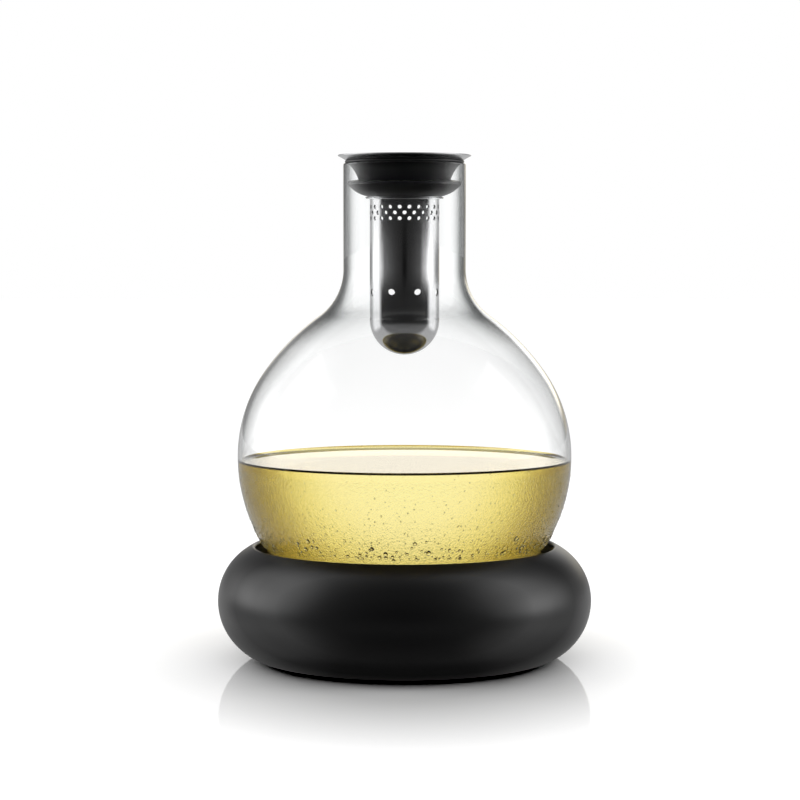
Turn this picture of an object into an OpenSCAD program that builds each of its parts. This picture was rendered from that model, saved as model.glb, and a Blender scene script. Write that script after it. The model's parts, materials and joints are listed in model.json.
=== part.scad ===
// Wine carafe with a pouring funnel, a perforated core tube and a cooling ring base.
// Millimetres, +Z up, origin in the middle of the ring's foot, on the table.
// Outlines are half sections, [distance from the axis, height], and are turned about Z.

/* [Carafe] */
// Radius of the globe at its widest line
globe_r = 73.7; // [64:0.1:84]
// Radius of the flat foot
foot_flat_r = 31.2; // [26:0.1:36]
// Rounding from the foot into the globe
foot_curve_r = 10; // [7:0.1:13]
// Radius of the globe's arc above its widest line
upper_r = 65; // [58:0.1:72]
// Angle above the widest line at which the flatter shoulder begins
upper_angle = 35; // [30:0.5:40]
// Radius of the flatter shoulder arc
shoulder_r = 105.5; // [90:0.5:125]
// Radius of the hollow curve between shoulder and neck
neck_curve_r = 25; // [20:0.1:30]
// Outer radius of the neck
neck_r = 26.9; // [25:0.1:31]
// Length of the straight part of the neck
neck_h = 46.5; // [36:0.1:60]
// Wall of the blown glass
glass_t = 1.6; // [1.2:0.1:2]
// Thickness of the glass foot
glass_foot_t = 3.2; // [2.4:0.1:5]
// Radius of the shallow punt under the foot
punt_r = 20; // [14:0.1:25]
// Rise of the punt in its middle
punt_h = 1.5; // [0.6:0.1:2]

/* [Stopper] */
// How far the collar's edge stays inside the neck's outer radius
collar_inset = 0.7; // [0.3:0.1:1]
// Rounding of the collar's edges
collar_edge_r = 0.35; // [0.1:0.05:0.4]
// Depth of the stopper below the rim
stopper_depth = 15.6; // [14:0.1:18]
// Radius of the stopper's waist, where the flared skirt's curve is upright
waist_r = 19.2; // [18.6:0.1:20.5]
// Depth below the rim at which the flared skirt's curve is upright
skirt_curve_drop = 14.5; // [13.5:0.1:16]
// Depth below the rim at which that curve reaches the glass
skirt_top_drop = 0.6; // [0.4:0.1:2]
// Depth below the rim of the bowl skirt's top
bowl_drop = 8.2; // [7:0.1:9.5]
// Fall of the bowl skirt's top from the waist to its edge
bowl_fall = 0.5; // [0.2:0.1:1]
// Height of the bowl skirt's band that touches the glass
bowl_band_h = 0.9; // [0.5:0.1:1.5]
// Radius of the bowl skirt's underside
bowl_curve_r = 13.7; // [12.6:0.1:15]

/* [Funnel] */
// Steel sheet of the funnel
funnel_t = 0.6; // [0.4:0.05:0.8]
// Depth below the rim at which the trumpet is upright
flare_drop = 17.3; // [16.5:0.1:18.5]
// Height of the pouring lip's middle above the rim of the glass
lip_rise = 3.3; // [2.8:0.1:3.8]
// How far the pouring lip stands out past the neck
lip_reach = 2.4; // [1.8:0.1:3.2]
// Outer radius of the ring under the stopper
throat_ring_r = 17.2; // [16.9:0.1:19]
// Thickness of that ring
throat_ring_t = 0.8; // [0.5:0.05:1.2]

/* [Core tube] */
// Outer radius of the core tube
core_r = 15.3; // [14.6:0.1:15.9]
// Steel sheet of the core tube
core_t = 0.5; // [0.3:0.05:0.7]
// Depth of the tube's round end below the rim
core_depth = 84.3; // [70:0.1:100]
// Depth of the tube's mouth below the rim
core_mouth_drop = 5.7; // [4:0.1:7]
// Radius of a small strainer hole
strain_hole_r = 0.95; // [0.6:0.05:1.1]
// Depth of the top row of small holes below the rim
strain_drop = 19.8; // [19:0.1:24]
// Distance between the rows
strain_pitch = 2.45; // [2.3:0.05:3.5]
// Number of rows of small holes
strain_rows = 3; // [1:1:5]
// Number of small holes in a row, an even number
strain_holes = 22; // [12:2:32]
// Radius of a large outlet hole
outlet_hole_r = 1.75; // [1:0.05:2.5]
// Depth of the large holes below the rim
outlet_drop = 57; // [40:0.5:64]
// Number of large holes, an even number
outlet_holes = 8; // [4:2:12]
// Thickness of the seal ring's round section, as a radius
seal_wire_r = 0.7; // [0.5:0.05:0.9]
// Depth of the seal below the rim
seal_drop = 14; // [12:0.1:14.2]

/* [Ring base] */
// How far the ring stands out past its own mouth
ring_w = 16.6; // [15:0.1:20]
// Height of the ring's widest line
ring_mid_h = 26; // [23:0.1:29]
// Height of the ring's lip
ring_h = 50.7; // [47:0.1:55]
// Free space between the lip and the globe
lip_gap = 3.4; // [2.6:0.1:5]
// Radius of the ring's top curve
top_curve_r = 46.1; // [42:0.1:51]
// Angle above the widest line at which the top curve begins
side_angle = 57.5; // [52:0.5:62]
// Radius of the curve that runs in under the ring
under_curve_r = 17.2; // [15:0.1:20]
// Angle below the widest line at which that curve begins
under_angle = 62.5; // [58:0.5:66]
// Wall of the moulded shell
shell_t = 2.2; // [1.8:0.1:2.8]
// Height of the shell's cut edge above the table
shell_lift = 0.6; // [0.3:0.1:1.2]
// How far the shell turns in past the lowest line of its curve
shell_turn = 2.6; // [2:0.1:4]

/* [Well] */
// Wall of the well
well_t = 2.2; // [1.8:0.1:2.8]
// Draft of the well's wall
well_draft = 6; // [4:0.5:8]
// Rounding between the well's wall and floor
well_curve_r = 8; // [6:0.1:10]
// Width of the flange that bonds the well to the shell under the lip
flange_w = 4; // [3:0.1:4.4]
// Number of stiffening ribs in the hollow of the ring
ribs = 12; // [6:1:16]
// Thickness of a rib
rib_t = 1.4; // [1:0.1:2]

/* [Base plate] */
// Height of the plate's underside above the table
plate_lift = 0.8; // [0.5:0.1:1.2]
// Thickness of the plate
plate_t = 3.2; // [2.8:0.1:4]
// Depth of the groove for the foot ring
groove_d = 1.4; // [1:0.1:1.8]
// Width of the foot ring
foot_ring_w = 6.4; // [6:0.1:8]
// Number of screws
screws = 4; // [3:1:6]
// Radius of a screw's head
screw_head_r = 2.6; // [2.2:0.1:2.8]
// Height of a screw's head
screw_head_h = 1.7; // [1.2:0.1:2]
// Radius of a screw's shank
screw_r = 1.45; // [1.2:0.05:1.6]
// Floor of the cup that holds a screw's head
cup_floor_t = 2; // [1.5:0.1:2.5]
// Height of the bosses under the well
boss_h = 4.4; // [3:0.1:6]
// Radius of a boss
boss_r = 3.4; // [3:0.1:3.8]

/* [Freezer dish] */
// Wall of the freezer dish
dish_t = 1.8; // [1.4:0.1:2.2]
// Free space between the dish and the globe
dish_gap = 0.6; // [0.4:0.1:1.2]
// Free space between the tray and the well
tray_gap = 0.6; // [0.4:0.1:1.2]
// Depth of the dish's rim below the ring's lip
dish_drop = 6.7; // [5:0.1:10]
// Thickness of the gel under the middle of the dish
gel_h = 5.1; // [3.5:0.1:8]
// Radius of the hole in the pad, under the punt
pad_hole_r = 12; // [8:0.1:16]
// Thickness of the rest pad
pad_t = 2.5; // [1.8:0.1:3.5]
// Radius of the filler hole
filler_r = 5; // [3.5:0.1:6]
// Radius of the plug's head
plug_head_r = 8; // [7:0.1:10]
// Thickness of the plug's head
plug_head_t = 1.2; // [0.8:0.1:1.6]

/* [Hidden] */
// Radial play where the core slides in the throat
core_gap = 0.25;
// Play of the seal in the throat
seal_gap = 0.1;
// Play between pieces that are bonded, pressed or laid together
fit_gap = 0.1;
// Play round loose and hidden pieces
part_gap = 0.3;
// Overrun of every cut
over = 1;
// Most that a curve's straight steps leave its true arc
facet = 0.02;
$fn = 96;

function polar(r, angle) = [r * cos(angle), r * sin(angle)];
function leg(long, short) = sqrt(pow(long, 2) - pow(short, 2));
// Radius of an arc that starts upright and ends this far out and this far up
function bulge_r(out, up) = (pow(out, 2) + pow(up, 2)) / (2 * out);

// Stack of heights under the glass
groove_z = plate_lift + groove_d;
plate_top_z = plate_lift + plate_t;
cup_z = groove_z + part_gap + screw_head_h;
cup_top_z = cup_z + cup_floor_t;
well_under_z = cup_top_z + boss_h;
well_floor_z = well_under_z + well_t;
dish_floor_z = well_floor_z + 2 * dish_t + gel_h;
seat_z = dish_floor_z + pad_t;

// Centres of the carafe's arcs
globe_z = seat_z + foot_curve_r + leg(globe_r - foot_curve_r, foot_flat_r);
upper_c = [globe_r - upper_r, globe_z];
shoulder_c = upper_c + polar(upper_r - shoulder_r, upper_angle);
neck_curve_x = neck_r + neck_curve_r;
neck_curve_z = shoulder_c.y + leg(shoulder_r + neck_curve_r, neck_curve_x - shoulder_c.x);
shoulder_angle = atan2(neck_curve_z - shoulder_c.y, neck_curve_x - shoulder_c.x);
rim_z = neck_curve_z + neck_h;
neck_in_r = neck_r - glass_t;

// Stopper, funnel and core
collar_r = neck_r - collar_inset;
collar_z = rim_z + fit_gap;
plug_r = neck_in_r - 2 * fit_gap;
stopper_z = rim_z - stopper_depth;
bowl_z = rim_z - bowl_drop;
bowl_edge_z = bowl_z - bowl_fall;
bowl_touch_z = bowl_edge_z - bowl_band_h;
bowl_c = [plug_r - leg(bowl_curve_r, stopper_z + bowl_curve_r - bowl_touch_z), stopper_z + bowl_curve_r];
skirt_c_z = rim_z - skirt_curve_drop;
skirt_r = bulge_r(plug_r - waist_r, rim_z - skirt_top_drop - skirt_c_z);
skirt_c = [waist_r + skirt_r, skirt_c_z];
throat_r = core_r + core_gap + funnel_t;
lip_z = rim_z + lip_rise;
flare_r = bulge_r(neck_r + lip_reach - throat_r, lip_rise + flare_drop) - funnel_t / 2;
flare_c = [throat_r + flare_r, rim_z - flare_drop];
core_flare_r = flare_r + funnel_t + core_gap;
core_end_z = rim_z - core_depth;
core_mouth_z = rim_z - core_mouth_drop;
seal_z = rim_z - seal_drop;
seal_c = [flare_c.x - leg(flare_r + funnel_t, seal_z - flare_c.y) - seal_gap - seal_wire_r, seal_z];

// Ring base
mouth_r = leg(globe_r, globe_z - ring_h) + lip_gap;
ring_r = mouth_r + ring_w;
under_side_r = (ring_mid_h - under_curve_r * (1 - sin(under_angle))) / sin(under_angle);
under_side_c = [ring_r - under_side_r, ring_mid_h];
under_c = under_side_c + polar(under_side_r - under_curve_r, -under_angle);
// The side curve's radius is the one at which the top curve, tangent to it, ends on the lip
top_start = [ring_r, ring_mid_h] - polar(top_curve_r, side_angle);
lip_step = [mouth_r, ring_h] - top_start;
side_step = [cos(side_angle) - 1, sin(side_angle)];
side_square = side_step * side_step;
side_mix = lip_step * side_step;
side_rest = lip_step * lip_step - pow(top_curve_r, 2);
side_r = (side_mix - sqrt(pow(side_mix, 2) - side_square * side_rest)) / side_square;
side_c = [ring_r - side_r, ring_mid_h];
top_c = side_c + polar(side_r - top_curve_r, side_angle);
lip_x = mouth_r + shell_t / 2;
lip_angle = acos((lip_x - top_c.x) / (top_curve_r - shell_t / 2));
lip_c = top_c + polar(top_curve_r - shell_t / 2, lip_angle);
foot_open_r = under_c.x - shell_turn;

// Well, plate and freezer dish
bond_r = top_curve_r - shell_t - fit_gap;
well_top_z = top_c.y + leg(bond_r, mouth_r - top_c.x);
well_edge_z = top_c.y + leg(bond_r, mouth_r + well_t / cos(well_draft) - top_c.x);
plate_r = foot_open_r - part_gap;
foot_ring_r = plate_r - (plate_t - groove_d) / 2;
screw_pitch_r = foot_ring_r - foot_ring_w / 2;
recess_r = screw_head_r + part_gap;
cup_r = recess_r + (plate_t - groove_d) / 2;
dish_top_z = ring_h - dish_drop;
dish_r = globe_r + dish_gap;
pad_r = leg(dish_r, globe_z - dish_floor_z) - part_gap;
plug_recess_d = plug_head_t + fit_gap;
plug_recess_r = plug_head_r + part_gap;
hub_r = plug_recess_r + dish_t;
hub_z = well_floor_z + plug_recess_d + dish_t;

// Points along an arc, from one angle to another
function arc(centre, radius, from, to) =
    let (steps = max(1, ceil(abs(to - from) / (2 * acos(1 - facet / radius)))))
    [for (i = [0 : steps]) centre + polar(radius, from + (to - from) * i / steps)];

// An arc of the globe's centre between two heights below the widest line
function globe_arc(radius, low_z, high_z) =
    arc([0, globe_z], radius, asin((low_z - globe_z) / radius), asin((high_z - globe_z) / radius));

function reverse(points) = [for (i = [len(points) - 1 : -1 : 0]) points[i]];

// Turns an outline about the axis
module turned(path) {
    rotate_extrude() polygon(path);
}

// Turns the wall between two paths that run the same way
module turned_wall(outside, inside) {
    turned(concat(outside, reverse(inside)));
}

// Copies of something round the axis
module around(count, start_angle) {
    for (i = [0 : count - 1])
        rotate([0, 0, start_angle + i * 360 / count]) children();
}

// The carafe from its flat foot to the neck, drawn in by a wall
function carafe_path(inset, floor_z, curve_r) =
    let (radius = globe_r - inset,
         foot_c = [leg(radius - curve_r, globe_z - floor_z - curve_r), floor_z + curve_r],
         foot_angle = atan2(foot_c.y - globe_z, foot_c.x))
    concat(arc(foot_c, curve_r, -90, foot_angle),
           arc([0, globe_z], radius, foot_angle, 0),
           arc(upper_c, upper_r - inset, 0, upper_angle),
           arc(shoulder_c, shoulder_r - inset, upper_angle, shoulder_angle),
           arc([neck_curve_x, neck_curve_z], neck_curve_r + inset, 180 + shoulder_angle, 180));

module carafe_glass() {
    rim_c = [neck_r - glass_t / 2, rim_z - glass_t / 2];
    punt_curve_r = (pow(punt_r, 2) + pow(punt_h, 2)) / (2 * punt_h);
    punt_c = [0, seat_z + punt_h - punt_curve_r];
    color([0.85, 0.9, 0.92, 0.35]) turned_wall(
        concat(arc(punt_c, punt_curve_r, 90, acos(punt_r / punt_curve_r)),
               carafe_path(0, seat_z, foot_curve_r),
               arc(rim_c, glass_t / 2, 0, 180)),
        concat([[0, seat_z + glass_foot_t]],
               carafe_path(glass_t, seat_z + glass_foot_t, foot_curve_r - glass_t)));
}

// A curve bent like the trumpet, from one height up to another
function trumpet_arc(radius, low_z, high_z) =
    arc(flare_c, radius, 180 - asin((low_z - flare_c.y) / radius), 180 - asin((high_z - flare_c.y) / radius));

// A sheet bent like the trumpet, its two faces and the round edge at the top
function trumpet_sheet(radius, thickness, low_z, high_z) =
    let (mid_r = radius + thickness / 2,
         edge_angle = 180 - asin((high_z - flare_c.y) / mid_r),
         edge_step = thickness / 2 * sin(edge_angle))
    concat(trumpet_arc(radius, low_z, high_z - edge_step),
           arc(flare_c + polar(mid_r, edge_angle), thickness / 2, edge_angle - 180, edge_angle),
           reverse(trumpet_arc(radius + thickness, low_z, high_z + edge_step)));

// The stopper: bowl skirt, waist, flared skirt and the collar on the rim, outside the trumpet
module stopper() {
    grip_r = flare_r - fit_gap;
    bowl_start_x = max(flare_c.x - leg(grip_r, stopper_z - flare_c.y), bowl_c.x);
    bowl_start = -acos((bowl_start_x - bowl_c.x) / bowl_curve_r);
    bowl_start_z = bowl_c.y + bowl_curve_r * sin(bowl_start);
    meet_z = flare_c.y + leg(grip_r, flare_c.x - collar_r);
    edge_r = min(collar_edge_r, (meet_z - collar_z) / 3);
    top_x = collar_r - edge_r;
    color([0.06, 0.06, 0.06]) turned_wall(
        concat(arc(bowl_c, bowl_curve_r, bowl_start, asin((bowl_touch_z - bowl_c.y) / bowl_curve_r)),
               [[plug_r, bowl_edge_z]],
               arc(skirt_c, skirt_r, 180 - asin((bowl_z - skirt_c.y) / skirt_r),
                   180 - asin((rim_z - skirt_top_drop - skirt_c.y) / skirt_r)),
               [[plug_r, collar_z]],
               arc([top_x, collar_z + edge_r], edge_r, -90, 0),
               [[collar_r, meet_z - edge_r]]),
        trumpet_arc(grip_r, bowl_start_z, flare_c.y + leg(grip_r, flare_c.x - top_x)));
}

module pouring_funnel() {
    color([0.75, 0.76, 0.77]) turned(trumpet_sheet(flare_r, funnel_t, stopper_z, lip_z));
}

module throat_ring() {
    inner_r = throat_r - funnel_t;
    low_z = stopper_z - throat_ring_t;
    edge_c = [throat_ring_r - throat_ring_t / 2, low_z + throat_ring_t / 2];
    color([0.8, 0.81, 0.82]) turned(
        concat([[inner_r, low_z]], arc(edge_c, throat_ring_t / 2, -90, 90), [[inner_r, stopper_z]]));
}

// Half of the tube's flared wall, from the upright to the mouth, dented by the seal's groove
function grooved_arc(radius, groove_r, high_z) =
    let (reach = norm(flare_c - seal_c),
         towards = atan2(flare_c.y - seal_c.y, flare_c.x - seal_c.x),
         half = acos((pow(reach, 2) + pow(groove_r, 2) - pow(radius, 2)) / (2 * reach * groove_r)),
         low_z = seal_c.y + groove_r * sin(towards - half),
         top_z = seal_c.y + groove_r * sin(towards + half))
    concat(trumpet_arc(radius, flare_c.y, low_z),
           arc(seal_c, groove_r, towards - half, towards + half - 360),
           trumpet_arc(radius, top_z, high_z));

// Round holes through the tube's wall
module wall_holes(count, radius, height_z, start_angle) {
    around(count, start_angle)
        translate([core_r - core_t - over, 0, height_z]) rotate([0, 90, 0])
            cylinder(r = radius, h = core_t + 2 * over);
}

// The drawn tube: round end, wall, groove for the seal and a mouth that nests in the trumpet
module core_tube() {
    round_c = [0, core_end_z + core_r];
    mid_r = core_flare_r + core_t / 2;
    mouth_angle = 180 - asin((core_mouth_z - flare_c.y) / mid_r);
    mouth_step = core_t / 2 * sin(mouth_angle);
    groove_r = seal_wire_r + fit_gap;
    color([0.78, 0.79, 0.8]) difference() {
        turned_wall(
            concat(arc(round_c, core_r, -90, 0),
                   grooved_arc(core_flare_r, groove_r, core_mouth_z - mouth_step),
                   arc(flare_c + polar(mid_r, mouth_angle), core_t / 2, mouth_angle - 180, mouth_angle)),
            concat(arc(round_c, core_r - core_t, -90, 0),
                   grooved_arc(core_flare_r + core_t, groove_r + core_t, core_mouth_z + mouth_step)));
        for (row = [0 : strain_rows - 1])
            wall_holes(strain_holes, strain_hole_r, rim_z - strain_drop - row * strain_pitch,
                       row % 2 * 180 / strain_holes);
        wall_holes(outlet_holes, outlet_hole_r, rim_z - outlet_drop, 180 / outlet_holes);
    }
}

module core_seal() {
    color([0.12, 0.12, 0.12]) rotate_extrude() translate(seal_c) circle(seal_wire_r);
}

// The ring from under its widest line to the lip, drawn in by a wall
function ring_path(inset, start_angle) =
    concat(arc(under_c, under_curve_r - inset, start_angle, -under_angle),
           arc(under_side_c, under_side_r - inset, -under_angle, 0),
           arc(side_c, side_r - inset, 0, side_angle),
           arc(top_c, top_curve_r - inset, side_angle, lip_angle));

module base_shell() {
    color([0.07, 0.07, 0.07]) turned_wall(
        concat([[foot_open_r, shell_lift]],
               ring_path(0, asin((shell_lift - under_c.y) / under_curve_r)),
               arc(lip_c, shell_t / 2, lip_angle, lip_angle + 180)),
        ring_path(shell_t, -acos((foot_open_r - under_c.x) / (under_curve_r - shell_t))));
}

// Distance from the axis of the well's wall, drawn in by inset, at a height
function well_x(inset, height_z) =
    mouth_r - inset / cos(well_draft) - (well_top_z - height_z) * tan(well_draft);

// A cup that follows the well's wall, drawn in by inset, from its flat floor to a height
function cup_path(inset, floor_z, top_z) =
    let (curve_r = well_curve_r - inset,
         curve_z = floor_z + curve_r,
         centre = [well_x(inset, curve_z) - curve_r / cos(well_draft), curve_z])
    concat(arc(centre, curve_r, -90, -well_draft), [[well_x(inset, top_z), top_z]]);

// The flange under the shell's lip, from inside the well's wall outwards
module bond_flange() {
    start_x = mouth_r + well_t - part_gap;
    end_x = start_x + flange_w;
    turned_wall(
        arc(top_c, bond_r - well_t, acos((start_x - top_c.x) / (bond_r - well_t)),
            acos((end_x - top_c.x) / (bond_r - well_t))),
        arc(top_c, bond_r, acos((start_x - top_c.x) / bond_r), acos((end_x - top_c.x) / bond_r)));
}

// A stiffening rib between the well's wall and the inside of the shell
module well_rib() {
    inset = shell_t + part_gap;
    low_z = well_floor_z + well_curve_r;
    high_z = side_c.y + (side_r - inset) * sin(side_angle);
    rotate([90, 0, 0]) linear_extrude(rib_t, center = true) polygon(concat(
        [[well_x(-well_t / 2, high_z), high_z], [well_x(-well_t / 2, low_z), low_z]],
        arc(under_side_c, under_side_r - inset, asin((low_z - ring_mid_h) / (under_side_r - inset)), 0),
        arc(side_c, side_r - inset, 0, side_angle)));
}

module base_well() {
    color([0.05, 0.05, 0.05]) difference() {
        union() {
            turned_wall(concat([[0, well_under_z]], cup_path(-well_t, well_under_z, well_edge_z)),
                        concat([[0, well_floor_z]], cup_path(0, well_floor_z, well_top_z)));
            bond_flange();
            around(ribs, 180 / ribs) well_rib();
            around(screws, 180 / screws)
                translate([screw_pitch_r, 0, cup_top_z]) cylinder(r = boss_r, h = boss_h + well_t / 2);
        }
        around(screws, 180 / screws)
            translate([screw_pitch_r, 0, cup_top_z - over])
                cylinder(r = screw_r + fit_gap / 2, h = boss_h + over + well_t / 4);
    }
}

module base_plate() {
    color([0.1, 0.1, 0.1]) difference() {
        union() {
            translate([0, 0, plate_lift]) cylinder(r = plate_r, h = plate_t);
            around(screws, 180 / screws)
                translate([screw_pitch_r, 0, plate_lift]) cylinder(r = cup_r, h = cup_top_z - plate_lift);
        }
        translate([0, 0, plate_lift - over]) difference() {
            cylinder(r = foot_ring_r + fit_gap, h = groove_d + over);
            translate([0, 0, -over])
                cylinder(r = foot_ring_r - foot_ring_w - fit_gap, h = groove_d + 3 * over);
        }
        around(screws, 180 / screws) translate([screw_pitch_r, 0, 0]) {
            cylinder(r = recess_r, h = cup_z);
            cylinder(r = screw_r + part_gap, h = cup_top_z + over);
        }
    }
}

module base_screws() {
    color([0.6, 0.6, 0.62]) around(screws, 180 / screws) translate([screw_pitch_r, 0, cup_z]) {
        difference() {
            translate([0, 0, -screw_head_h]) cylinder(r = screw_head_r, h = screw_head_h);
            translate([0, 0, -screw_head_h - over])
                cylinder(r = screw_r, h = screw_head_h / 2 + over, $fn = 6);
        }
        cylinder(r = screw_r, h = cup_floor_t + boss_h);
    }
}

module foot_ring() {
    color([0.15, 0.15, 0.15]) rotate_extrude()
        translate([foot_ring_r - foot_ring_w, 0]) square([foot_ring_w, groove_z]);
}

// The lower shell, with a hub in its floor for the filler plug
module freezer_tray() {
    inner_z = well_floor_z + dish_t;
    top_z = dish_top_z - dish_t;
    recess_z = well_floor_z + plug_recess_d;
    color([0.13, 0.14, 0.15]) turned_wall(
        concat([[filler_r, recess_z], [plug_recess_r, recess_z], [plug_recess_r, well_floor_z]],
               cup_path(tray_gap, well_floor_z, top_z)),
        concat([[filler_r, hub_z], [hub_r, hub_z], [hub_r, inner_z]],
               cup_path(tray_gap + dish_t, inner_z, top_z)));
}

// The upper shell: a hollow for the globe, the pad's seat and the rim on the tray's wall
module freezer_dish() {
    seat_under_z = dish_floor_z - dish_t;
    rim_under_z = dish_top_z - dish_t;
    color([0.15, 0.16, 0.17]) turned_wall(
        concat([[0, seat_under_z]],
               globe_arc(dish_r + dish_t, seat_under_z, rim_under_z),
               [[well_x(tray_gap, rim_under_z), rim_under_z], [well_x(tray_gap, dish_top_z), dish_top_z]]),
        concat([[0, dish_floor_z]], globe_arc(dish_r, dish_floor_z, dish_top_z)));
}

module cooling_gel() {
    inset = dish_t + part_gap;
    low_z = well_floor_z + inset;
    top_z = dish_top_z - inset;
    color([0.3, 0.55, 0.75]) turned_wall(
        concat([[0, hub_z + part_gap], [hub_r + part_gap, hub_z + part_gap], [hub_r + part_gap, low_z]],
               cup_path(tray_gap + inset, low_z, top_z)),
        concat([[0, dish_floor_z - inset]], globe_arc(dish_r + inset, dish_floor_z - inset, top_z)));
}

module filler_plug() {
    color([0.85, 0.86, 0.87]) translate([0, 0, well_floor_z + plug_recess_d - plug_head_t]) {
        cylinder(r = plug_head_r, h = plug_head_t);
        cylinder(r = filler_r - fit_gap, h = plug_head_t + dish_t);
    }
}

module rest_pad() {
    color([0.2, 0.2, 0.21]) rotate_extrude()
        translate([pad_hole_r, dish_floor_z]) square([pad_r - pad_hole_r, pad_t]);
}

base_shell();
base_well();
base_plate();
base_screws();
foot_ring();
freezer_tray();
freezer_dish();
cooling_gel();
filler_plug();
rest_pad();
carafe_glass();
stopper();
pouring_funnel();
throat_ring();
core_tube();
core_seal();
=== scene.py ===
"""Wine carafe with a steel core tube in a cooling ring base: the dressed model.

Outlines are half sections in millimetres, [distance from the axis, height], turned about Z.
"""

import json
import logging
import math
import random
from dataclasses import dataclass
from enum import Enum

import bmesh
import bpy
from mathutils import Matrix, Vector

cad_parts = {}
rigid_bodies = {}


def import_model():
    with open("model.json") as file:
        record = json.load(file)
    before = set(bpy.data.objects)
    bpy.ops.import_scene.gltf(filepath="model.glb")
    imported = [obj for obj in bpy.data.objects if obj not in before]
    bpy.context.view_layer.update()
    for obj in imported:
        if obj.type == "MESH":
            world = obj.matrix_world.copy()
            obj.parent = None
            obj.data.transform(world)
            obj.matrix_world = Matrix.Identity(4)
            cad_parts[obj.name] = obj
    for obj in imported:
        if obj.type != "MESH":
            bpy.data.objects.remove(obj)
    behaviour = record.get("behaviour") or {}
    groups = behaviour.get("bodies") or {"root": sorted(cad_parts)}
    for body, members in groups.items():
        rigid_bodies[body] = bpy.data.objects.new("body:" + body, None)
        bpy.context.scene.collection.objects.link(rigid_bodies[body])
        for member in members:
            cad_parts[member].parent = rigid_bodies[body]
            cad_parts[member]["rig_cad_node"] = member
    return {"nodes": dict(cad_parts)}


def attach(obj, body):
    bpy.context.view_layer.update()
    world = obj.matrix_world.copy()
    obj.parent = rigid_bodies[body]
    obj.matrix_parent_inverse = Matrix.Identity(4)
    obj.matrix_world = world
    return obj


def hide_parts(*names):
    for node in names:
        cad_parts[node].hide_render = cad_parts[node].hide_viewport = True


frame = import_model()

LOG = logging.getLogger("carafe")
MM = 0.001
SEED = 7
SHARP = 35
Tree = bpy.types.NodeTree
Socket = bpy.types.NodeSocket
Point = tuple[float, float]
# Two values of a measure, and the levels that they become: 0 and 1, where only the two values are given.
Span = tuple[float, ...]
# How many times a ray has been mirrored: not yet, or already.
MIRRORED: Span = (0.0, 1.0)
UNMIRRORED: Span = (0.0, 1.0, 1.0, 0.0)
# How many surfaces a ray has passed: from the third on, it has come through the carafe's inside.
INSIDE: Span = (2.0, 3.0)
# Where the studio turns from its dark front to its bright back, as settings of a Map Range node.
PANEL_EDGE = {1: -0.2, 2: 0.12, "interpolation_type": "SMOOTHSTEP"}


class Body(Enum):
    """The bodies that the pieces ride on."""

    BASE = "base"
    FREEZER = "freezer"
    CARAFE = "carafe"
    STOPPER = "stopper"
    CORE = "core"


def polar(centre: Point, radius: float, degrees: float) -> Point:
    """Find a point on a circle.

    Args:
        centre: Centre of the circle.
        radius: Radius of the circle.
        degrees: Angle from the outward direction, upwards.

    Returns:
        The point.
    """
    angle = math.radians(degrees)
    return centre[0] + radius * math.cos(angle), centre[1] + radius * math.sin(angle)


def leg(long_side: float, short_side: float) -> float:
    """Return the other short side of a right-angled triangle."""
    return math.sqrt(long_side**2 - short_side**2)


def bulge_radius(out: float, up: float) -> float:
    """Return the radius of an arc that starts upright and ends this far out and up."""
    return (out**2 + up**2) / (2 * out)


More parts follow.
